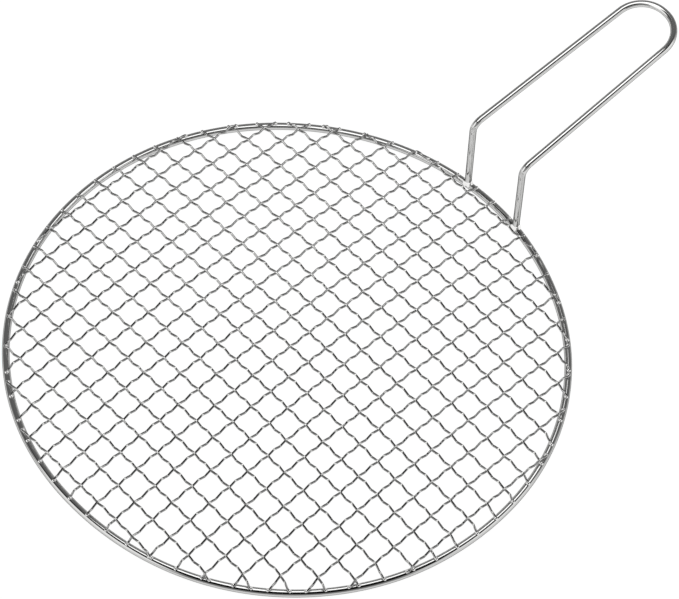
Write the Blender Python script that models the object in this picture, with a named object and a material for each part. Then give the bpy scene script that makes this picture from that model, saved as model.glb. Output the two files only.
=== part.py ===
"""Round grill net: a domed net of crimped steel wires, welded by their ends on a ring of rod, with a
raised loop handle of rod welded on the ring. Handle along +X, net up (+Z), metres."""

import math

import bmesh
import bpy
from mathutils import Vector

MM = 0.001

# Rim ring
RIM_DIAMETER = 300.0 * MM  # across the outside
RIM_ROD = 4.0 * MM  # rod thickness
RIM_STEPS = 64  # straight steps round the ring
ROD_SIDES = 8  # sides of the ring's rod, one of them flat on the ground

# Net of crimped wires
NET_WIRE = 1.2 * MM  # wire thickness
WIRE_COUNT = 22  # wires each way
NET_EDGE = 8.6125 * MM  # outermost wires to the side of the rim, at the middle of its rod
NET_CROWN = 10.2 * MM  # rise of the net's middle above its edge
NET_TURN = math.radians(3.3)  # turn of the long wires from the handle's line
NET_SHIFT = 1.2 * MM  # shift of the cross wires towards the handle
BENDS_PER_CELL = 3  # half waves between two crossings: one extra crimp between them
WIRE_SIDES = 3  # few sides, because the net has some hundreds of cells
TIP_OVERHANG = 0.7 * MM  # wire ends past the middle of the rim's rod

# Handle
HANDLE_ROD = 3.8 * MM  # rod thickness
FOOT_SPREAD = 38.4 * MM  # middle to middle of the two feet
GRIP_WIDTH = 34.2 * MM  # middle to middle of the rails at the far end
SHOULDER_HEIGHT = 56.5 * MM  # ground to the middle of the rod where the legs turn outwards
END_HEIGHT = 81.3 * MM  # ground to the middle of the rod at the far end
HANDLE_REACH = 114.7 * MM  # from the outside of the rim to the outside of the far end
LEG_LEAN = 2.6 * MM  # shoulders inside the feet
HANDLE_SIDESTEP = 2.1 * MM  # handle's line to the left of the ring's middle
SHOULDER_RADIUS = 6.1 * MM  # bend from leg to rail, at the middle of the rod
END_RADIUS = 17.0 * MM  # bends of the far end, at the middle of the rod
BEND_STEPS = 6  # straight steps in the shoulder bends
END_STEPS = 9  # straight steps in the far end's bends

# Clearance left where welded pieces meet
SEAT_GAP = 0.3 * MM

# Sizes worked out from those above
RIM_RADIUS = (RIM_DIAMETER - RIM_ROD) / 2  # to the middle of the rod
TIP_RADIUS = RIM_RADIUS + TIP_OVERHANG
NET_PITCH = 2 * (RIM_RADIUS - NET_EDGE) / (WIRE_COUNT - 1)  # middle to middle of neighbouring wires
CRIMP_STEP = NET_PITCH / BENDS_PER_CELL
FAR_END = RIM_DIAMETER / 2 + HANDLE_REACH


def section(sides, thickness):
    """Regular outline with a flat side down and the area of a round bar, as (sideways, up) pairs."""
    step = 2 * math.pi / sides
    radius = thickness / 2 * math.sqrt(step / math.sin(step))
    angles = [-math.pi / 2 + step * (k + 0.5) for k in range(sides)]
    return [(radius * math.cos(a), radius * math.sin(a)) for a in angles]


WIRE_SECTION = section(WIRE_SIDES, NET_WIRE)
WIRE_TOP = max(up for _, up in WIRE_SECTION)
WIRE_BASE = -min(up for _, up in WIRE_SECTION)
CRIMP = (WIRE_TOP + WIRE_BASE + SEAT_GAP) / 2  # wires swing this far over and under the net's surface
SEAT_HEIGHT = RIM_ROD + SEAT_GAP + WIRE_BASE  # middle of a wire that lies on the rim


def steel(name, shade, roughness):
    material = bpy.data.materials.new(name)
    material.use_nodes = True
    shader = material.node_tree.nodes["Principled BSDF"]
    shader.inputs["Base Color"].default_value = (shade, shade, shade, 1.0)
    shader.inputs["Metallic"].default_value = 1.0
    shader.inputs["Roughness"].default_value = roughness
    return material


def add_object(name, data, material, parent):
    item = bpy.data.objects.new(name, data)
    data.materials.append(material)
    item.parent = parent
    bpy.context.scene.collection.objects.link(item)
    return item


def swept_mesh(name, rings, closed):
    """Skin over a row of equal outlines: closed into a ring, or capped at both ends."""
    bm = bmesh.new()
    loops = [[bm.verts.new(point) for point in ring] for ring in rings]
    pairs = list(zip(loops, loops[1:]))
    if closed:
        pairs.append((loops[-1], loops[0]))
    for near, far in pairs:
        for k in range(len(near)):
            bm.faces.new((near[k - 1], near[k], far[k], far[k - 1]))
    if not closed:
        bm.faces.new(loops[0])
        bm.faces.new(reversed(loops[-1]))
    bmesh.ops.recalc_face_normals(bm, faces=bm.faces)
    mesh = bpy.data.meshes.new(name)
    bm.to_mesh(mesh)
    bm.free()
    mesh.shade_smooth()
    mesh.set_sharp_from_angle(angle=math.radians(50))
    return mesh


def rim_mesh():
    """Ring of rod that stands on its flat underside."""
    flat = RIM_ROD / 2 / math.cos(math.pi / ROD_SIDES)
    step = 2 * math.pi / ROD_SIDES
    outline = [-math.pi / 2 + step * (k + 0.5) for k in range(ROD_SIDES)]
    rings = []
    for k in range(RIM_STEPS):
        turn = 2 * math.pi * k / RIM_STEPS
        ring = []
        for angle in outline:
            radius = RIM_RADIUS + flat * math.cos(angle)
            ring.append((radius * math.cos(turn), radius * math.sin(turn), RIM_ROD / 2 + flat * math.sin(angle)))
        rings.append(ring)
    return swept_mesh("rim_ring", rings, closed=True)


def foot_places():
    """Middles of the two feet, on the middle line of the rim's rod: left, then right."""
    sides = [HANDLE_SIDESTEP + FOOT_SPREAD / 2, HANDLE_SIDESTEP - FOOT_SPREAD / 2]
    return [Vector((math.sqrt(RIM_RADIUS**2 - y**2), y, RIM_ROD + SEAT_GAP)) for y in sides]


def net_height(radius):
    """Height of the net's surface, between the wires that cross."""
    dome = NET_CROWN * max(0.0, 1 - (radius / RIM_RADIUS) ** 2)
    return SEAT_HEIGHT + CRIMP + dome


def wire_end(start, run):
    """Distance along the run to the wire's cut end: on the rim, or just short of a handle foot."""
    middle = -start.dot(run)
    end = middle + math.sqrt(TIP_RADIUS**2 - (start + run * middle).length_squared)
    clear = HANDLE_ROD / 2 + NET_WIRE + SEAT_GAP
    for foot in foot_places():
        to_foot = foot.xy - start
        along = to_foot.dot(run)
        aside = abs(to_foot.x * run.y - to_foot.y * run.x)
        if along > 0 and aside < clear:
            end = min(end, along - math.sqrt(clear**2 - aside**2))
    return end


def wire_knots(start, run, first_crossing, first_over):
    """Points of one crimped wire, as (distance along the run, height). Bends come at the crossings and at
    even steps between them, each up or down in turn; the ends lie on the rim."""
    low = -wire_end(start, -run)
    high = wire_end(start, run)

    def swing(distance):
        wave = math.cos(math.pi * (distance - first_crossing) / CRIMP_STEP)
        return wave if first_over else -wave

    def tip(distance, inner):
        turns = (distance - first_crossing) / NET_PITCH
        to_crossing = abs(turns - round(turns)) * NET_PITCH
        height = SEAT_HEIGHT
        if to_crossing < 1.5 * NET_WIRE:
            height += CRIMP * (1 + max(-1.0, swing(distance)))
        steepest = 2 * CRIMP / CRIMP_STEP
        return distance, max(height, inner[1] - steepest * abs(distance - inner[0]))

    margin = NET_WIRE / 4
    first = math.ceil((low + margin - first_crossing) / CRIMP_STEP)
    last = math.floor((high - margin - first_crossing) / CRIMP_STEP)
    knots = []
    for k in range(first, last + 1):
        distance = first_crossing + k * CRIMP_STEP
        radius = (start + run * distance).length
        knots.append((distance, net_height(radius) + CRIMP * swing(distance)))
    return [tip(low, knots[0])] + knots + [tip(high, knots[-1])]


def wire_mesh(name, start, run, first_crossing, first_over):
    aside = Vector((-run.y, run.x))
    rings = []
    for distance, height in wire_knots(start, run, first_crossing, first_over):
        place = start + run * distance
        ring = []
        for sideways, up in WIRE_SECTION:
            spot = place + aside * sideways
            ring.append((spot.x, spot.y, height + up))
        rings.append(ring)
    return swept_mesh(name, rings, closed=False)


def add_net(parent, material):
    """Long wires run along the handle's line, cross wires over and under them in turn."""
    along = Vector((math.cos(NET_TURN), math.sin(NET_TURN)))
    across = Vector((-along.y, along.x))
    places = [(k - (WIRE_COUNT - 1) / 2) * NET_PITCH for k in range(WIRE_COUNT)]
    for k, place in enumerate(places):
        name = f"long_wire_{k + 1:02d}"
        mesh = wire_mesh(name, across * place, along, places[0] + NET_SHIFT, first_over=k % 2 == 0)
        add_object(name, mesh, material, parent)
        name = f"cross_wire_{k + 1:02d}"
        mesh = wire_mesh(name, along * (place + NET_SHIFT), across, places[0], first_over=k % 2 == 1)
        add_object(name, mesh, material, parent)


def rounded_path(corners, radii, steps):
    """Points of a bent rod: straight runs joined by arcs at the inner corners."""
    points = [corners[0]]
    for before, corner, after, radius, count in zip(corners, corners[1:], corners[2:], radii, steps):
        back = (before - corner).normalized()
        ahead = (after - corner).normalized()
        half = back.angle(ahead) / 2
        centre = corner + (back + ahead).normalized() * (radius / math.sin(half))
        from_centre = corner + back * (radius / math.tan(half)) - centre
        axis = back.cross(ahead).normalized()
        sweep = 2 * half - math.pi
        for k in range(count + 1):
            turned = from_centre.copy()
            angle = -sweep * k / count
            turned = turned * math.cos(angle) - axis.cross(turned) * math.sin(angle)
            points.append(centre + turned)
    points.append(corners[-1])
    return points


def add_handle(parent, material):
    """One rod: up from the left foot, out, round the far end, back and down to the right foot."""
    feet = foot_places()
    shoulders = []
    ends = []
    for foot, side in zip(feet, (1, -1)):
        shoulders.append(Vector((foot.x - LEG_LEAN, foot.y, SHOULDER_HEIGHT)))
        ends.append(Vector((FAR_END - HANDLE_ROD / 2, HANDLE_SIDESTEP + side * GRIP_WIDTH / 2, END_HEIGHT)))
    corners = [feet[0], shoulders[0], ends[0], ends[1], shoulders[1], feet[1]]
    end_radius = min(END_RADIUS, GRIP_WIDTH / 2 * 0.99)
    radii = [SHOULDER_RADIUS, end_radius, end_radius, SHOULDER_RADIUS]
    points = rounded_path(corners, radii, [BEND_STEPS, END_STEPS, END_STEPS, BEND_STEPS])
    curve = bpy.data.curves.new("handle", "CURVE")
    curve.dimensions = "3D"
    curve.bevel_depth = HANDLE_ROD / 2
    curve.bevel_resolution = 2
    curve.use_fill_caps = True
    spline = curve.splines.new("POLY")
    spline.points.add(len(points) - 1)
    for knot, point in zip(spline.points, points):
        knot.co = (*point, 1.0)
    add_object("handle", curve, material, parent)


def main():
    for item in list(bpy.data.objects):
        bpy.data.objects.remove(item, do_unlink=True)
    base = bpy.data.objects.new("grill_net", None)
    base.location.x = (RIM_DIAMETER / 2 - FAR_END) / 2
    bpy.context.scene.collection.objects.link(base)
    add_object("rim_ring", rim_mesh(), steel("rim_steel", 0.62, 0.16), base)
    add_net(base, steel("net_steel", 0.58, 0.2))
    add_handle(base, steel("handle_steel", 0.62, 0.16))


main()
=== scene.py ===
# Round grill net: a domed net of crimped wires on a ring of rod, with a raised loop handle of rod.
# Handle along +X, net up, the ring lying on the floor at z = 0. Sizes are in metres.

import math
import random

import bmesh
import bpy
from mathutils import Matrix, Vector


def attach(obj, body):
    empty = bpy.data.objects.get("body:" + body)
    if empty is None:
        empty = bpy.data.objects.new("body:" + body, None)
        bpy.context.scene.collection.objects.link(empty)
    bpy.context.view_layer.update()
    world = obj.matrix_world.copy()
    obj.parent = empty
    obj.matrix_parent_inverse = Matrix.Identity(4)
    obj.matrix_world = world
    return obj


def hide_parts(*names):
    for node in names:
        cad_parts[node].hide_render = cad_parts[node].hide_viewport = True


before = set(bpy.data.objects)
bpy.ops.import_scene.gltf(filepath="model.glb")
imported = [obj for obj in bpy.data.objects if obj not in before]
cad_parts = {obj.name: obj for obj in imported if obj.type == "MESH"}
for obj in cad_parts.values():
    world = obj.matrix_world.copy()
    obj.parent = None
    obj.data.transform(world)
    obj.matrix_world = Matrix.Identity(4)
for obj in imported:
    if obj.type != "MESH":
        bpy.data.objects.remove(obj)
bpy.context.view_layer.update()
bpy.context.scene.view_settings.view_transform = "Standard"

mm = 0.001
ringCentre = Vector((-57.35 * mm, 0.0, 0.0))  # middle of the ring in the part's frame
print("frame loaded:", len(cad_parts), "nodes")


# Small helpers for node trees

def addNode(tree, kind, inputs=None, **settings):
    node = tree.nodes.new(kind)
    for name, value in settings.items():
        setattr(node, name, value)
    for key, value in (inputs or {}).items():
        socket = node.inputs[key]
        if isinstance(value, bpy.types.NodeSocket):
            tree.links.new(value, socket)
        else:
            socket.default_value = value
    return node


def calc(tree, operation, *values):
    node = addNode(tree, "ShaderNodeMath", dict(enumerate(values)), operation=operation)
    return node.outputs[0]


def vectorCalc(tree, operation, *values):
    node = addNode(tree, "ShaderNodeVectorMath", dict(enumerate(values)), operation=operation)
    return node.outputs[1] if operation in ("LENGTH", "DOT_PRODUCT") else node.outputs[0]


def stretchVector(tree, vector, factor):
    node = addNode(tree, "ShaderNodeVectorMath", {0: vector, "Scale": factor}, operation="SCALE")
    return node.outputs[0]


def ease(tree, value, low, high, toLow=0.0, toHigh=1.0):
    inputs = {"Value": value, "From Min": low, "From Max": high, "To Min": toLow, "To Max": toHigh}
    node = addNode(tree, "ShaderNodeMapRange", inputs, interpolation_type="SMOOTHSTEP")
    return node.outputs[0]


def blend(tree, first, second, share):
    # the first value where the share is 0, the second where it is 1
    return calc(tree, "MULTIPLY_ADD", calc(tree, "SUBTRACT", second, first), share, first)


def newTree(name, inputs):
    tree = bpy.data.node_groups.new(name, "GeometryNodeTree")
    tree.interface.new_socket("Geometry", in_out="OUTPUT", socket_type="NodeSocketGeometry")
    for label, kind in inputs.items():
        tree.interface.new_socket(label, in_out="INPUT", socket_type="NodeSocket" + kind)
    return tree, tree.nodes.new("NodeGroupInput").outputs, tree.nodes.new("NodeGroupOutput").inputs


def rodSkin(tree, curve, radius, sides, material, along, endCaps):
    # round rod along a curve; "lay" holds the place round the rod and the way along it
    rod = addNode(tree, "GeometryNodeCurvePrimitiveCircle", {"Resolution": sides, "Radius": radius})
    place = vectorCalc(tree, "NORMALIZE", addNode(tree, "GeometryNodeInputPosition").outputs[0])
    kept = addNode(tree, "GeometryNodeCaptureAttribute", {"Geometry": rod.outputs[0]})
    kept.capture_items.new("VECTOR", "round")
    tree.links.new(place, kept.inputs[1])
    skin = addNode(tree, "GeometryNodeCurveToMesh", {"Curve": curve, "Profile Curve": kept.outputs[0]})
    skin.inputs["Fill Caps"].default_value = endCaps
    parts = addNode(tree, "ShaderNodeSeparateXYZ", {0: kept.outputs[1]})
    lay = addNode(tree, "ShaderNodeCombineXYZ", {0: parts.outputs[0], 1: parts.outputs[1], 2: along})
    store = addNode(tree, "GeometryNodeStoreNamedAttribute", data_type="FLOAT_VECTOR", domain="POINT")
    store.inputs["Name"].default_value = "lay"
    tree.links.new(skin.outputs[0], store.inputs["Geometry"])
    tree.links.new(lay.outputs[0], store.inputs["Value"])
    smooth = addNode(tree, "GeometryNodeSetShadeSmooth", {0: store.outputs[0]})
    return finishTree(tree, smooth.outputs[0], material)


def finishTree(tree, geometry, material):
    real = addNode(tree, "GeometryNodeRealizeInstances", {0: geometry})
    return addNode(tree, "GeometryNodeSetMaterial", {0: real.outputs[0], "Material": material}).outputs[0]


def growPiece(name, tree, values, start=None):
    # runs a tree once and keeps the result as a plain mesh object at the origin
    seedObject = bpy.data.objects.new(name + "Seed", start or bpy.data.meshes.new(name + "Seed"))
    bpy.context.scene.collection.objects.link(seedObject)
    modifier = seedObject.modifiers.new("grow", "NODES")
    modifier.node_group = tree
    for item in tree.interface.items_tree:
        if item.in_out == "INPUT" and item.name in values:
            modifier[item.identifier] = values[item.name]
    evaluated = seedObject.evaluated_get(bpy.context.evaluated_depsgraph_get())
    mesh = bpy.data.meshes.new_from_object(evaluated)
    seedObject.modifiers.remove(modifier)
    bpy.data.objects.remove(seedObject, do_unlink=True)
    turnOutwards(mesh)
    mesh.name = name
    piece = bpy.data.objects.new(name, mesh)
    bpy.context.scene.collection.objects.link(piece)
    return piece


def turnOutwards(mesh):
    bm = bmesh.new()
    bm.from_mesh(mesh)
    if bm.calc_volume(signed=True) < 0:
        bmesh.ops.reverse_faces(bm, faces=bm.faces)
    bm.to_mesh(mesh)
    bm.free()
    mesh.set_sharp_from_angle(angle=math.radians(55))


# Steel: one shared effect for drawn rod, with its own values in each finish

drawnMarks = {
    "streakStretch": (1.0, 1.0, 60.0),  # drawing marks along the rod
    "cloudStretch": (0.5, 0.5, 40.0),  # uneven polish
    "cloudScale": 1.6,
    "streakShade": 0.06,
    "cloudShade": 0.10,
    "darkest": 0.92,
}


def makeDrawnSteel():
    group = bpy.data.node_groups.new("drawnSteel", "ShaderNodeTree")
    sockets = {"Lay": "Vector", "Streaks": "Float", "Polish": "Float", "Haze": "Float", "Shade": "Color"}
    for label, kind in sockets.items():
        group.interface.new_socket(label, in_out="INPUT", socket_type="NodeSocket" + kind)
    for label, kind in {"Colour": "Color", "Roughness": "Float", "Height": "Float"}.items():
        group.interface.new_socket(label, in_out="OUTPUT", socket_type="NodeSocket" + kind)
    given = group.nodes.new("NodeGroupInput").outputs
    result = group.nodes.new("NodeGroupOutput").inputs

    def noise(stretch, scale, detail):
        spread = vectorCalc(group, "MULTIPLY", given["Lay"], stretch)
        node = addNode(group, "ShaderNodeTexNoise", {"Vector": spread, "Scale": scale, "Detail": detail})
        return node.outputs[0]

    streak = noise(drawnMarks["streakStretch"], given["Streaks"], 2.0)
    cloud = noise(drawnMarks["cloudStretch"], drawnMarks["cloudScale"], 3.0)
    roughness = calc(group, "MULTIPLY_ADD", cloud, given["Haze"], given["Polish"])
    roughness = calc(group, "MULTIPLY_ADD", streak, calc(group, "MULTIPLY", given["Haze"], 0.5), roughness)
    group.links.new(roughness, result["Roughness"])
    shade = calc(group, "MULTIPLY_ADD", cloud, drawnMarks["cloudShade"], drawnMarks["darkest"])
    shade = calc(group, "MULTIPLY_ADD", streak, drawnMarks["streakShade"], shade)
    shade = calc(group, "MINIMUM", shade, 1.0)
    group.links.new(stretchVector(group, given["Shade"], shade), result["Colour"])
    group.links.new(streak, result["Height"])
    return group


drawnSteel = makeDrawnSteel()

steelGrazing = (0.05, 0.05, 0.05, 1.0)  # painted shade: a near-black grazing tint darkens the edges of every rod, far less reflection at grazing angles than steel has
steelFinishes = {
    # painted highlight: the tops of the bends in the net wire get a lighter colour (crest)
    "netSteel": {"shade": (0.42, 0.42, 0.416), "crest": (0.66, 0.66, 0.65), "crestFrom": 0.7,
                 "polish": 0.03, "haze": 0.04, "streaks": 3.0, "relief": 0.05},
    "rimSteel": {"shade": (0.57, 0.57, 0.564), "polish": 0.03, "haze": 0.05, "streaks": 5.0,
                 "relief": 0.03},
    "handleSteel": {"shade": (0.62, 0.62, 0.613), "polish": 0.03, "haze": 0.06, "streaks": 5.0,
                    "relief": 0.03},
}


def makeSteel(name, finish):
    material = bpy.data.materials.new(name)
    material.use_nodes = True
    tree = material.node_tree
    shader = tree.nodes["Principled BSDF"]
    lay = addNode(tree, "ShaderNodeAttribute", attribute_name="lay")
    steel = addNode(tree, "ShaderNodeGroup", node_tree=drawnSteel)
    tree.links.new(lay.outputs["Vector"], steel.inputs["Lay"])
    steel.inputs["Streaks"].default_value = finish["streaks"]
    steel.inputs["Polish"].default_value = finish["polish"]
    steel.inputs["Haze"].default_value = finish["haze"]
    steel.inputs["Shade"].default_value = (*finish["shade"], 1.0)
    # painted highlight: the colour lightens towards the tops of the wire's bends
    if "crest" in finish:
        top = addNode(tree, "ShaderNodeAttribute", attribute_name="crest").outputs["Fac"]
        highlightMask = ease(tree, top, finish["crestFrom"], 1.0)
        inputs = {0: highlightMask, 6: (*finish["shade"], 1.0), 7: (*finish["crest"], 1.0)}
        highlightMix = addNode(tree, "ShaderNodeMix", inputs, data_type="RGBA")
        tree.links.new(highlightMix.outputs[2], steel.inputs["Shade"])
    tree.links.new(steel.outputs["Colour"], shader.inputs["Base Color"])
    tree.links.new(steel.outputs["Roughness"], shader.inputs["Roughness"])
    shader.inputs["Metallic"].default_value = 1.0
    shader.inputs["Specular Tint"].default_value = steelGrazing
    bump = addNode(tree, "ShaderNodeBump", {"Strength": finish["relief"], "Distance": 0.02 * mm})
    tree.links.new(steel.outputs["Height"], bump.inputs["Height"])
    tree.links.new(bump.outputs[0], shader.inputs["Normal"])
    return material


steels = {name: makeSteel(name, finish) for name, finish in steelFinishes.items()}


# puddled metal: small ripples, bright where it ran smooth
weldLook = {
    "rippleScale": 1400.0,
    "rippleRange": (0.3, 0.7),
    "dark": (0.80, 0.79, 0.78, 1.0),
    "bright": (0.93, 0.93, 0.92, 1.0),
    "roughness": (0.15, 0.06),
    "relief": 0.2,
    "depth": 0.08 * mm,
}


def makeWeldSteel():
    material = bpy.data.materials.new("weldSteel")
    material.use_nodes = True
    tree = material.node_tree
    shader = tree.nodes["Principled BSDF"]
    place = addNode(tree, "ShaderNodeTexCoord").outputs["Object"]
    inputs = {"Vector": place, "Scale": weldLook["rippleScale"], "Detail": 2.0}
    ripple = addNode(tree, "ShaderNodeTexNoise", inputs).outputs[0]
    shade = addNode(tree, "ShaderNodeValToRGB", {0: ripple})
    for stop, at, colour in zip(shade.color_ramp.elements, weldLook["rippleRange"], ("dark", "bright")):
        stop.position = at
        stop.color = weldLook[colour]
    tree.links.new(shade.outputs[0], shader.inputs["Base Color"])
    roughness = ease(tree, ripple, *weldLook["rippleRange"], *weldLook["roughness"])
    tree.links.new(roughness, shader.inputs["Roughness"])
    shader.inputs["Metallic"].default_value = 1.0
    inputs = {"Strength": weldLook["relief"], "Distance": weldLook["depth"], "Height": ripple}
    bump = addNode(tree, "ShaderNodeBump", inputs)
    tree.links.new(bump.outputs[0], shader.inputs["Normal"])
    return material


weldSteel = makeWeldSteel()
print("finishes made:", len(steels) + 1)


def settle(piece, slotName, *nodes):
    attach(piece, "root")
    if nodes:
        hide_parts(*nodes)


# Rim: one ring of round rod

rim = {
    "diameter": 300.0 * mm,
    "rod": 4.0 * mm,
    "length": 930 * mm,  # of the rod before it is bent
    "sides": 28,
    "steps": 420,
    # the bent ring is not quite round; each flatter stretch: angle from the handle's line, depth, reach
    "flats": [(-173, 1.2 * mm, 22), (43, 1.1 * mm, 26), (-21, 0.5 * mm, 14), (-89, 0.5 * mm, 14)],
}
rimRadius = (rim["diameter"] - rim["rod"]) / 2  # to the middle of the rod


def ringRadius(place):
    angle = math.degrees(math.atan2(place.y, place.x))
    radius = rimRadius
    for at, depth, reach in rim["flats"]:
        off = (angle - at + 180) % 360 - 180
        radius -= depth * math.exp(-((off / reach) ** 2))
    return radius


def growRim():
    labels = {"Radius": "Float", "Rod": "Float", "Sides": "Int", "Steps": "Int", "Centre": "Vector",
              "Material": "Material"}
    tree, given, result = newTree("rimRod", labels)
    inputs = {"Resolution": given["Steps"], "Radius": given["Radius"]}
    ring = addNode(tree, "GeometryNodeCurvePrimitiveCircle", inputs)
    place = addNode(tree, "GeometryNodeInputPosition").outputs[0]
    spot = addNode(tree, "ShaderNodeSeparateXYZ", {0: place})
    angle = calc(tree, "DEGREES", calc(tree, "ARCTAN2", spot.outputs[1], spot.outputs[0]))
    pressed = 0.0
    for at, depth, reach in rim["flats"]:
        off = calc(tree, "WRAP", calc(tree, "SUBTRACT", angle, at), 180.0, -180.0)
        off = calc(tree, "DIVIDE", off, reach)
        fall = calc(tree, "EXPONENT", calc(tree, "MULTIPLY", calc(tree, "MULTIPLY", off, off), -1.0))
        pressed = calc(tree, "MULTIPLY_ADD", fall, depth, pressed)
    outwards = vectorCalc(tree, "NORMALIZE", place)
    inwards = stretchVector(tree, outwards, calc(tree, "MULTIPLY", pressed, -1.0))
    shift = vectorCalc(tree, "ADD", inwards, given["Centre"])
    moved = addNode(tree, "GeometryNodeSetPosition", {"Geometry": ring.outputs[0], "Offset": shift})
    turn = addNode(tree, "GeometryNodeSplineParameter").outputs["Factor"]
    # the way along runs to and fro, so that the marks meet where the ring closes
    way = calc(tree, "MULTIPLY", calc(tree, "PINGPONG", turn, 0.5), rim["length"])
    kept = addNode(tree, "GeometryNodeCaptureAttribute", {"Geometry": moved.outputs[0]})
    kept.capture_items.new("FLOAT", "way")
    tree.links.new(way, kept.inputs[1])
    radius = calc(tree, "MULTIPLY", given["Rod"], 0.5)
    skin = rodSkin(tree, kept.outputs[0], radius, given["Sides"], given["Material"], kept.outputs[1], False)
    tree.links.new(skin, result[0])
    values = {"Radius": rimRadius, "Rod": rim["rod"], "Sides": rim["sides"], "Steps": rim["steps"],
              "Centre": ringCentre + Vector((0.0, 0.0, rim["rod"] / 2)), "Material": steels["rimSteel"]}
    settle(growPiece("rimRing", tree, values), "rim_steel", "rim_ring")


growRim()
print("rim made")


# Handle: one rod, up from the left foot, out, round the far end and back down

handle = {
    "rod": 3.8 * mm,
    "footSpread": 38.4 * mm,  # between the feet
    "gripWidth": 34.2 * mm,  # between the rails at the far end
    "shoulderHeight": 56.5 * mm,
    "endHeight": 81.3 * mm,
    "farEnd": 264.7 * mm,  # outside of the far end, from the middle of the ring
    "legLean": 2.6 * mm,
    "sidestep": 2.1 * mm,  # the handle's line lies to the left of the ring's middle
    "shoulderBend": 6.1 * mm,
    "endBend": 16.95 * mm,
    "sides": 24,
    "bendSteps": 18,
    "sunk": 0.6 * mm,  # the feet melt a little into the rim
}


def footPlaces():
    sides = (handle["sidestep"] + handle["footSpread"] / 2, handle["sidestep"] - handle["footSpread"] / 2)
    return [Vector((math.sqrt(rimRadius**2 - y**2), y, rim["rod"])) for y in sides]


def growHandle():
    feet = footPlaces()
    shoulders = [Vector((foot.x - handle["legLean"], foot.y, handle["shoulderHeight"])) for foot in feet]
    endX = handle["farEnd"] - handle["rod"] / 2
    endY = [handle["sidestep"] + side * handle["gripWidth"] / 2 for side in (1, -1)]
    ends = [Vector((endX, y, handle["endHeight"])) for y in endY]
    sunk = Vector((0.0, 0.0, handle["sunk"]))
    corners = [feet[0] - sunk, shoulders[0], ends[0], ends[1], shoulders[1], feet[1] - sunk]
    path = bpy.data.curves.new("handlePath", "CURVE")
    path.dimensions = "3D"
    spline = path.splines.new("POLY")
    spline.points.add(len(corners) - 1)
    for knot, corner in zip(spline.points, corners):
        knot.co = (*(corner + ringCentre), 1.0)
    labels = {"Path": "Geometry", "Rod": "Float", "Shoulder Bend": "Float", "End Bend": "Float",
              "Sides": "Int", "Bend Steps": "Int", "Material": "Material"}
    tree, given, result = newTree("bentRod", labels)
    # the two middle corners are the far end, the next ones the shoulders
    number = addNode(tree, "GeometryNodeInputIndex").outputs[0]
    fromMiddle = calc(tree, "ABSOLUTE", calc(tree, "SUBTRACT", number, (len(corners) - 1) / 2))
    atEnd = calc(tree, "LESS_THAN", fromMiddle, 1.0)
    bend = blend(tree, given["Shoulder Bend"], given["End Bend"], atEnd)
    fillet = addNode(tree, "GeometryNodeFilletCurve", {"Curve": given["Path"], "Radius": bend}, mode="POLY")
    tree.links.new(given["Bend Steps"], fillet.inputs["Count"])
    way = addNode(tree, "GeometryNodeSplineParameter").outputs["Length"]
    kept = addNode(tree, "GeometryNodeCaptureAttribute", {"Geometry": fillet.outputs[0]})
    kept.capture_items.new("FLOAT", "way")
    tree.links.new(way, kept.inputs[1])
    radius = calc(tree, "MULTIPLY", given["Rod"], 0.5)
    skin = rodSkin(tree, kept.outputs[0], radius, given["Sides"], given["Material"], kept.outputs[1], True)
    tree.links.new(skin, result[0])
    values = {"Rod": handle["rod"], "Shoulder Bend": handle["shoulderBend"],
              "End Bend": handle["endBend"], "Sides": handle["sides"],
              "Bend Steps": handle["bendSteps"], "Material": steels["handleSteel"]}
    settle(growPiece("handleLoop", tree, values, start=path), "handle_steel", "handle")


growHandle()
print("handle made")


# Net: crimped wires, each over and under the ones it crosses, with one extra crimp between crossings

net = {
    "wire": 1.2 * mm,
    "count": 22,  # wires each way
    "bendsPerCell": 3,
    "crossSwing": 0.66 * mm,  # over or under at a crossing
    "midSwing": 0.88 * mm,  # at the extra crimps
    "overtone": 0.11,  # straight runs with short bends
    "crown": 9.86 * mm,
    "baseHeight": 5.616 * mm,  # middle of the net above the rim's top line
    "seatHeight": 4.50 * mm,  # middle of a wire where it is melted on the rim
    "overhang": 0.7 * mm,  # cut ends past the middle of the rim's rod
    "tipRun": 2.4 * mm,  # least length of a tip's run down to the rim
    "tipSlope": 0.9,
    "tipShort": 0.5 * mm,  # a tip that ends further inside than this has no weld
    "tipNip": 0.68,  # the cutters nip the ends narrower
    "footGap": 0.3 * mm,
    "wobble": 0.16 * mm,  # wires wander a little sideways
    "wobblePace": 28.0,  # to the metre
    "crossingHighlight": 0.45,  # painted highlight: the lighter crest colour reaches further along the wire where the wires cross
    "stepLength": 0.5 * mm,
    "evenLean": 0.6,  # how far the lean of the tips dies away towards the handle
    "sides": 10,
}
# long wires run out to the handle, cross wires lie across them; the weave is not quite square,
# and past its last crossing a tip leans aside
longWires = {
    "turn": math.radians(3.43),
    "pitch": 13.235 * mm,
    "shift": -0.23 * mm,
    "lean": -0.12,
    "side": 1,
}
crossWires = {
    "turn": math.radians(93.19),
    "pitch": 13.314 * mm,
    "shift": 0.89 * mm,
    "lean": -0.22,
    "side": -1,
}


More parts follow.
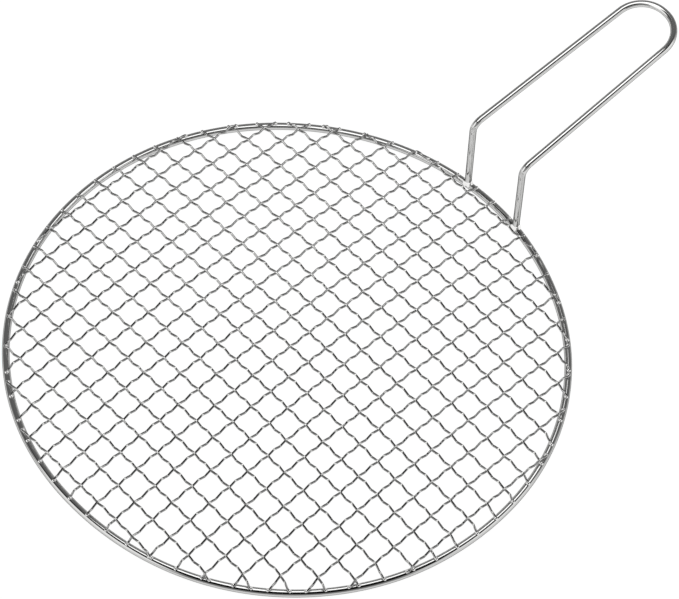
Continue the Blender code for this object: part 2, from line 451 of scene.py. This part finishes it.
def makeWireTree():
    labels = {"Start": "Vector", "Run": "Vector", "Side": "Vector", "Centre": "Vector",
              "Low": "Float", "High": "Float", "First Crossing": "Float", "Over": "Float",
              "Low Tip": "Float", "High Tip": "Float", "Low Blend": "Float", "High Blend": "Float",
              "Tip Nip": "Float", "Wire": "Float", "Pitch": "Float", "Bend Step": "Float",
              "Lean": "Float", "Lean Run": "Float", "Cross Swing": "Float", "Mid Swing": "Float",
              "Overtone": "Float", "Crown": "Float", "Rim Radius": "Float", "Base Height": "Float",
              "Wobble": "Float", "Wobble Pace": "Float", "Crossing Highlight": "Float", "Seed": "Float",
              "Steps": "Int", "Sides": "Int", "Material": "Material"}
    tree, given, result = newTree("crimpedWire", labels)
    inputs = {"Start": (0.0, 0.0, 0.0), "End": (1.0, 0.0, 0.0)}
    line = addNode(tree, "GeometryNodeCurvePrimitiveLine", inputs)
    fine = addNode(tree, "GeometryNodeResampleCurve", {"Curve": line.outputs[0], "Count": given["Steps"]})
    factor = addNode(tree, "GeometryNodeSplineParameter").outputs["Factor"]
    reach = calc(tree, "SUBTRACT", given["High"], given["Low"])
    way = calc(tree, "MULTIPLY_ADD", factor, reach, given["Low"])

    # crimp: bends at the crossings and at even steps between them
    fromCrossing = calc(tree, "SUBTRACT", way, given["First Crossing"])
    phase = calc(tree, "MULTIPLY", calc(tree, "DIVIDE", fromCrossing, given["Bend Step"]), math.pi)
    sharp = calc(tree, "COSINE", calc(tree, "MULTIPLY", phase, 3.0))
    wave = calc(tree, "MULTIPLY_ADD", sharp, given["Overtone"], calc(tree, "COSINE", phase))
    wave = calc(tree, "DIVIDE", wave, calc(tree, "ADD", given["Overtone"], 1.0))
    cell = calc(tree, "MULTIPLY", calc(tree, "DIVIDE", fromCrossing, given["Pitch"]), 2 * math.pi)
    between = calc(tree, "MULTIPLY_ADD", calc(tree, "COSINE", cell), -0.5, 0.5)
    swing = blend(tree, given["Cross Swing"], given["Mid Swing"], between)
    wave = calc(tree, "MULTIPLY", wave, given["Over"])
    swing = calc(tree, "MULTIPLY", swing, wave)

    # dome: highest in the middle of the ring
    flat = vectorCalc(tree, "ADD", given["Start"], stretchVector(tree, given["Run"], way))
    out = calc(tree, "DIVIDE", vectorCalc(tree, "LENGTH", flat), given["Rim Radius"])
    rise = calc(tree, "MAXIMUM", calc(tree, "SUBTRACT", 1.0, calc(tree, "MULTIPLY", out, out)), 0.0)
    height = calc(tree, "MULTIPLY_ADD", rise, given["Crown"], given["Base Height"])
    height = calc(tree, "ADD", height, swing)

    # tips: down to the rim
    inLow = ease(tree, way, given["Low"], calc(tree, "ADD", given["Low"], given["Low Blend"]))
    inHigh = ease(tree, way, given["High"], calc(tree, "SUBTRACT", given["High"], given["High Blend"]))
    height = blend(tree, given["Low Tip"], height, inLow)
    height = blend(tree, given["High Tip"], height, inHigh)

    # sideways: a slow wander, and the lean of the front tip
    pace = calc(tree, "MULTIPLY", way, given["Wobble Pace"])
    spot = addNode(tree, "ShaderNodeCombineXYZ", {0: pace, 1: given["Seed"]}).outputs[0]
    inputs = {"Vector": spot, "Scale": 1.0, "Detail": 1.0}
    wander = addNode(tree, "ShaderNodeTexNoise", inputs, noise_dimensions="2D").outputs[0]
    reachAside = calc(tree, "MULTIPLY", given["Wobble"], 4.0)  # the noise strays a quarter either way
    drift = calc(tree, "MULTIPLY", calc(tree, "SUBTRACT", wander, 0.5), reachAside)
    leaning = ease(tree, way, calc(tree, "ADD", given["Low"], given["Lean Run"]), given["Low"])
    drift = calc(tree, "MULTIPLY_ADD", leaning, given["Lean"], drift)
    lift = addNode(tree, "ShaderNodeCombineXYZ", {2: height}).outputs[0]
    place = vectorCalc(tree, "ADD", flat, stretchVector(tree, given["Side"], drift))
    place = vectorCalc(tree, "ADD", vectorCalc(tree, "ADD", place, lift), given["Centre"])

    kept = addNode(tree, "GeometryNodeCaptureAttribute", {"Geometry": fine.outputs[0]})
    kept.capture_items.new("FLOAT", "way")
    tree.links.new(way, kept.inputs[1])
    # 'crest' holds how near the top of a bend the wire is, stretched where the wires cross; it places the
    # painted highlight
    crest = addNode(tree, "GeometryNodeStoreNamedAttribute", data_type="FLOAT", domain="POINT")
    crest.inputs["Name"].default_value = "crest"
    tree.links.new(kept.outputs[0], crest.inputs["Geometry"])
    highlightReach = blend(tree, calc(tree, "ADD", given["Crossing Highlight"], 1.0), 1.0, between)
    tree.links.new(calc(tree, "MULTIPLY", wave, highlightReach), crest.inputs["Value"])
    bent = addNode(tree, "GeometryNodeSetPosition", {"Geometry": crest.outputs[0], "Position": place})
    ends = addNode(tree, "GeometryNodeCurveEndpointSelection", {"Start Size": 1, "End Size": 1})
    even = addNode(tree, "GeometryNodeSetCurveRadius", {"Curve": bent.outputs[0], "Radius": 1.0})
    inputs = {"Curve": even.outputs[0], "Selection": ends.outputs[0], "Radius": given["Tip Nip"]}
    cut = addNode(tree, "GeometryNodeSetCurveRadius", inputs)
    radius = calc(tree, "MULTIPLY", given["Wire"], 0.5)
    along = calc(tree, "ADD", kept.outputs[1], given["Seed"])
    skin = rodSkin(tree, cut.outputs[0], radius, given["Sides"], given["Material"], along, True)
    tree.links.new(skin, result[0])
    return tree


def wireEnd(start, run):
    # distance to the cut end: on the rim, or just short of a handle foot
    middle = -start.dot(run)
    nearest = (start + run * middle).length_squared
    end = middle + math.sqrt(rimRadius**2 - nearest)
    for _ in range(4):
        tipRadius = ringRadius(start + run * end) + net["overhang"]
        end = middle + math.sqrt(tipRadius**2 - nearest)
    clear = handle["rod"] / 2 + net["wire"] + net["footGap"]
    for foot in footPlaces():
        toFoot = foot.xy - start
        along = toFoot.dot(run)
        aside = abs(toFoot.x * run.y - toFoot.y * run.x)
        if along > 0 and aside < clear:
            end = min(end, along - math.sqrt(clear**2 - aside**2))
    return end


def wireTip(start, run, firstCrossing, bendStep, over, tip, inwards):
    # height of a tip and the length of its run down to the rim
    step = (tip + inwards * net["tipRun"] - firstCrossing) / bendStep
    inner = firstCrossing + (math.ceil(step) if inwards > 0 else math.floor(step)) * bendStep
    out = (start + run * inner).length / rimRadius
    swing = over * math.cos(math.pi * (inner - firstCrossing) / bendStep)
    innerHeight = net["baseHeight"] + net["crown"] * max(0.0, 1 - out**2) + net["midSwing"] * swing
    length = abs(tip - inner)
    return max(net["seatHeight"], innerHeight - net["tipSlope"] * length), length


def wirePlace(family, k):
    # foot of the upright from the ring's middle to a wire, the wire's direction and its sideways direction
    run = Vector((math.cos(family["turn"]), math.sin(family["turn"])))
    aside = Vector((-run.y, run.x)) * family["side"]
    offset = (k - (net["count"] - 1) / 2) * family["pitch"] + family["shift"]
    return aside * offset, run, aside


def growNet():
    tree = makeWireTree()
    random.seed(7)
    tips = []
    for k in range(net["count"]):
        rows = [("long", longWires, crossWires, 1 if k % 2 == 0 else -1),
                ("cross", crossWires, longWires, 1 if k % 2 == 1 else -1)]
        for family, own, other, over in rows:
            start, run, aside = wirePlace(own, k)
            otherStart, _, otherAside = wirePlace(other, 0)
            firstCrossing = (otherStart - start).dot(otherAside) / run.dot(otherAside)
            bendStep = other["pitch"] / net["bendsPerCell"]
            low = -wireEnd(start, -run)
            missed = max(0, math.ceil((low - firstCrossing) / other["pitch"]))
            free = firstCrossing + missed * other["pitch"] - low  # from the tip to the first crossing
            lean = free * own["lean"] * (1 - net["evenLean"] * k / net["count"])
            low = -wireEnd(start + aside * lean, -run)
            high = wireEnd(start, run)
            lowTip, lowBlend = wireTip(start, run, firstCrossing, bendStep, over, low, 1)
            highTip, highBlend = wireTip(start, run, firstCrossing, bendStep, over, high, -1)
            values = {"Start": start.to_3d(), "Run": run.to_3d(), "Side": aside.to_3d(),
                      "Centre": ringCentre, "Low": low, "High": high, "First Crossing": firstCrossing,
                      "Over": float(over), "Low Tip": lowTip, "High Tip": highTip, "Low Blend": lowBlend,
                      "High Blend": highBlend, "Tip Nip": net["tipNip"], "Wire": net["wire"],
                      "Pitch": other["pitch"], "Bend Step": bendStep, "Lean": lean, "Lean Run": free,
                      "Cross Swing": net["crossSwing"], "Mid Swing": net["midSwing"],
                      "Overtone": net["overtone"], "Crown": net["crown"], "Rim Radius": rimRadius,
                      "Base Height": net["baseHeight"], "Wobble": net["wobble"],
                      "Wobble Pace": net["wobblePace"], "Crossing Highlight": net["crossingHighlight"],
                      "Seed": random.uniform(0.0, 90.0), "Sides": net["sides"],
                      "Steps": int((high - low) / net["stepLength"]),
                      "Material": steels["netSteel"]}
            wire = growPiece(f"{family}Wire{k + 1:02d}", tree, values)
            settle(wire, "net_steel", f"{family}_wire_{k + 1:02d}")
            for tip, off in ((low, lean), (high, 0.0)):
                spot = start + aside * off + run * tip
                ringHere = ringRadius(spot)
                if spot.length > ringHere - net["tipShort"]:
                    spot = spot * (ringHere / spot.length)
                    tips.append((spot.to_3d() + ringCentre, math.atan2(run.y, run.x)))
    return tips


wireTips = growNet()
print("net made:", 2 * net["count"], "wires,", len(wireTips), "tips on the rim")


# Weld spots under the wire tips

tipWelds = {"length": 2.3 * mm, "width": 2.0 * mm, "height": 1.9 * mm, "lift": 0.3 * mm}


def growTipWelds():
    labels = {"Points": "Geometry", "Size": "Vector", "Material": "Material"}
    tree, given, result = newTree("tipWelds", labels)
    blob = addNode(tree, "GeometryNodeMeshIcoSphere", {"Radius": 0.5, "Subdivisions": 2})
    blob = addNode(tree, "GeometryNodeSetShadeSmooth", {0: blob.outputs[0]})
    turn = addNode(tree, "GeometryNodeInputNamedAttribute", {"Name": "turn"}, data_type="FLOAT").outputs[0]
    angles = addNode(tree, "ShaderNodeCombineXYZ", {2: turn}).outputs[0]
    inputs = {"Points": given["Points"], "Instance": blob.outputs[0], "Rotation": angles,
              "Scale": given["Size"]}
    spots = addNode(tree, "GeometryNodeInstanceOnPoints", inputs)
    tree.links.new(finishTree(tree, spots.outputs[0], given["Material"]), result[0])
    points = bpy.data.meshes.new("tipPoints")
    top = Vector((0.0, 0.0, rim["rod"] + tipWelds["lift"]))
    points.from_pydata([spot + top for spot, _ in wireTips], [], [])
    turns = points.attributes.new("turn", "FLOAT", "POINT")
    for item, (_, angle) in zip(turns.data, wireTips):
        item.value = angle
    size = Vector((tipWelds["length"], tipWelds["width"], tipWelds["height"]))
    piece = growPiece("tipWelds", tree, {"Size": size, "Material": weldSteel}, start=points)
    settle(piece, "rim_steel")


growTipWelds()
print("tip welds made")


# Foot welds: a fillet from each leg of the handle down on the round top of the rim

footWelds = {
    "height": 2.0 * mm,
    "spread": 1.25 * mm,
    "ripple": 0.12 * mm,
    "unevenTop": 0.2,
    "bedding": 0.05 * mm,  # the lower edge lies a little inside the rim
    "cover": 0.02 * mm,  # lies this far outside the leg
    "widest": 0.985,  # share of the rim's half width that the weld may reach
    "edge": 0.03 * mm,  # and this much more at its lower edge
    "rings": 9,
    "sides": 28,
}


def growFootWeld(name, foot, seed):
    random.seed(seed)
    outwards = Vector((foot.x, foot.y, 0.0)).normalized()
    sideways = Vector((-outwards.y, outwards.x, 0.0))
    halfRim = rim["rod"] / 2
    bm = bmesh.new()
    loops = []
    phases = [random.uniform(0, 2 * math.pi) for _ in range(3)]
    for j in range(footWelds["rings"]):
        t = j / (footWelds["rings"] - 1)
        loop = []
        for k in range(footWelds["sides"]):
            angle = 2 * math.pi * k / footWelds["sides"]
            ripple = sum(math.sin((m + 2) * angle + phase) for m, phase in enumerate(phases)) / 3
            spread = footWelds["spread"] * (1 - t) ** 2 + footWelds["ripple"] * ripple * (1 - t)
            radius = handle["rod"] / 2 + spread + footWelds["cover"]
            u = radius * math.cos(angle)
            v = radius * math.sin(angle)
            over = max(-footWelds["widest"], min(footWelds["widest"], u / halfRim))
            surface = halfRim + halfRim * math.sqrt(1 - over**2) - footWelds["bedding"]
            top = rim["rod"] + footWelds["height"] * (1 + footWelds["unevenTop"] * ripple)
            z = surface * (1 - t) + top * t
            if t == 0:
                u = math.copysign(min(abs(u), footWelds["widest"] * halfRim + footWelds["edge"]), u)
            flat = foot + outwards * u + sideways * v
            loop.append(bm.verts.new((flat.x + ringCentre.x, flat.y, z)))
        loops.append(loop)
    for near, far in zip(loops, loops[1:]):
        for k in range(len(near)):
            bm.faces.new((near[k - 1], near[k], far[k], far[k - 1]))
    bm.faces.new(loops[0])
    bm.faces.new(loops[-1])
    bmesh.ops.recalc_face_normals(bm, faces=bm.faces)
    mesh = bpy.data.meshes.new(name)
    bm.to_mesh(mesh)
    bm.free()
    mesh.shade_smooth()
    mesh.set_sharp_from_angle(angle=math.radians(60))
    mesh.materials.append(weldSteel)
    piece = bpy.data.objects.new(name, mesh)
    bpy.context.scene.collection.objects.link(piece)
    settle(piece, "handle_steel")


for label, place, seed in zip(("Left", "Right"), footPlaces(), (3, 8)):
    growFootWeld("footWeld" + label, Vector((place.x, place.y, 0.0)), seed)
print("foot welds made")


# Camera at the photograph's viewing angle

photoView = {
    "width": 679.0,  # of the picture, in pixels
    "focal": 2940.0,  # in the same pixels
    "sensor": 36.0,
    "elevation": math.radians(55.111),
    "roll": math.radians(5.677),
    # middle of the ring as the camera sees it: right, up, ahead
    "place": Vector((-27.00, -25.87, 1549.54)) * mm,
    "turn": math.radians(45.136),  # handle's line from the picture's right-hand direction
}


def placeCamera():
    ahead = Vector((0.0, math.cos(photoView["elevation"]), -math.sin(photoView["elevation"])))
    right = ahead.cross(Vector((0.0, 0.0, 1.0))).normalized()
    up = right.cross(ahead)
    cosRoll = math.cos(photoView["roll"])
    sinRoll = math.sin(photoView["roll"])
    rows = [right * cosRoll + up * sinRoll, up * cosRoll - right * sinRoll, ahead]
    seen = photoView["place"]
    eye = -(rows[0] * seen.x + rows[1] * seen.y + rows[2] * seen.z)
    spin = Matrix.Rotation(-photoView["turn"], 3, "Z")
    axes = [spin @ rows[0], spin @ rows[1], -(spin @ rows[2])]
    eye = spin @ eye + ringCentre
    data = bpy.data.cameras.new("photoCamera")
    data.sensor_width = photoView["sensor"]
    data.lens = photoView["focal"] * photoView["sensor"] / photoView["width"]
    data.clip_start = 0.05
    data.clip_end = 20.0
    camera = bpy.data.objects.new("photoCamera", data)
    bpy.context.scene.collection.objects.link(camera)
    camera.matrix_world = Matrix.Translation(eye) @ Matrix(axes).transposed().to_4x4()
    bpy.context.scene.camera = camera
    towards = Vector((eye.x - ringCentre.x, eye.y, 0.0))
    return towards.normalized()


towardsCamera = placeCamera()


# Studio: white table, one soft box close above the net, a dim room with a pale wall and white panels

studio = {
    "boxLength": 0.46,
    "boxWidth": 0.255,
    "boxPlace": (0.025, 0.0375, 0.455),  # reaches out over the handle
    "boxPower": 0.74,
    "roomHigh": 0.01,  # in front, high up
    "roomLow": 0.33,  # in front, low down
    "roomSide": 1.0,  # pale wall to the right of the handle
    "roomBack": 0.18,
    "roomRear": 0.33,  # straight behind
    # where one part of the room goes over into the next, as cosines
    "highEdge": (0.46, 0.66),
    "sideEdge": (0.1, 0.5),
    "handleEdge": (-0.05, 0.15),
    "backEdge": (-0.1, 0.5),
    "rearEdge": (0.65, 0.95),
    # panels at the front left and the front right: direction, cosine at the edge, cosine where fully white
    "panels": [((-0.90, 0.20, 0.38), 0.85, 0.94), ((0.52, -0.70, 0.49), 0.93, 0.975)],
    "panelGlow": 1.35,
    "fill": 1.05,  # light from all round on the table
    "tableReach": 4.0,
    "tableDrop": 0.05 * mm,
    "tableWhite": 0.95,
    "tableGrey": (0.06, 0.06, 0.06, 1.0),  # keeps the object's shadow
}
white = (1.0, 1.0, 1.0, 1.0)


def makeWorld():
    world = bpy.data.worlds.new("studio")
    bpy.context.scene.world = world
    world.use_nodes = True
    tree = world.node_tree
    tree.nodes.clear()
    way = addNode(tree, "ShaderNodeTexCoord").outputs["Generated"]
    behind = vectorCalc(tree, "DOT_PRODUCT", way, tuple(-towardsCamera))
    right = vectorCalc(tree, "DOT_PRODUCT", way, (-towardsCamera.y, towardsCamera.x, 0.0))
    parts = addNode(tree, "ShaderNodeSeparateXYZ", {0: way})

    # in front: dim below, dark above, with the pale wall and the panels
    onRight = ease(tree, right, *studio["sideEdge"])
    byHandle = ease(tree, parts.outputs[0], *studio["handleEdge"])
    beside = calc(tree, "MULTIPLY", onRight, byHandle)
    low = blend(tree, studio["roomLow"], studio["roomSide"], beside)
    front = blend(tree, low, studio["roomHigh"], ease(tree, parts.outputs[2], *studio["highEdge"]))
    for aim, edge, core in studio["panels"]:
        facing = vectorCalc(tree, "DOT_PRODUCT", way, aim)
        panel = ease(tree, facing, edge, core, 0.0, studio["panelGlow"])
        front = calc(tree, "MAXIMUM", front, panel)
    back = ease(tree, behind, *studio["rearEdge"], studio["roomBack"], studio["roomRear"])
    level = blend(tree, front, back, ease(tree, behind, *studio["backEdge"]))

    rays = addNode(tree, "ShaderNodeLightPath")
    level = calc(tree, "MULTIPLY_ADD", rays.outputs["Is Diffuse Ray"], studio["fill"], level)
    room = addNode(tree, "ShaderNodeBackground", {"Color": white, "Strength": level})
    output = addNode(tree, "ShaderNodeOutputWorld")
    tree.links.new(room.outputs[0], output.inputs["Surface"])


def makeFloor():
    bm = bmesh.new()
    bmesh.ops.create_grid(bm, x_segments=1, y_segments=1, size=studio["tableReach"])
    mesh = bpy.data.meshes.new("floor")
    bm.to_mesh(mesh)
    bm.free()
    floor = bpy.data.objects.new("floor", mesh)
    bpy.context.scene.collection.objects.link(floor)
    floor.location.z = -studio["tableDrop"]
    material = bpy.data.materials.new("paleFloor")
    material.use_nodes = True
    tree = material.node_tree
    tree.nodes.clear()

    # the same white to the camera and in reflections
    rays = addNode(tree, "ShaderNodeLightPath")
    mirrored = calc(tree, "ADD", rays.outputs["Is Glossy Ray"], rays.outputs["Is Transmission Ray"])
    shown = calc(tree, "ADD", rays.outputs["Is Camera Ray"], mirrored)
    glow = calc(tree, "MULTIPLY", shown, studio["tableWhite"])
    plain = addNode(tree, "ShaderNodeEmission", {"Color": white, "Strength": glow})
    faint = addNode(tree, "ShaderNodeBsdfDiffuse", {"Color": studio["tableGrey"]})
    both = addNode(tree, "ShaderNodeAddShader", {0: plain.outputs[0], 1: faint.outputs[0]})
    output = addNode(tree, "ShaderNodeOutputMaterial")
    tree.links.new(both.outputs[0], output.inputs["Surface"])
    mesh.materials.append(material)


def addLamp():
    data = bpy.data.lights.new("softBox", "AREA")
    data.shape = "RECTANGLE"
    data.size = studio["boxLength"]
    data.size_y = studio["boxWidth"]
    data.energy = studio["boxPower"]
    lamp = bpy.data.objects.new("softBox", data)
    bpy.context.scene.collection.objects.link(lamp)
    lamp.location = studio["boxPlace"]
    lamp.visible_camera = False


makeWorld()
makeFloor()
addLamp()
print("studio made")
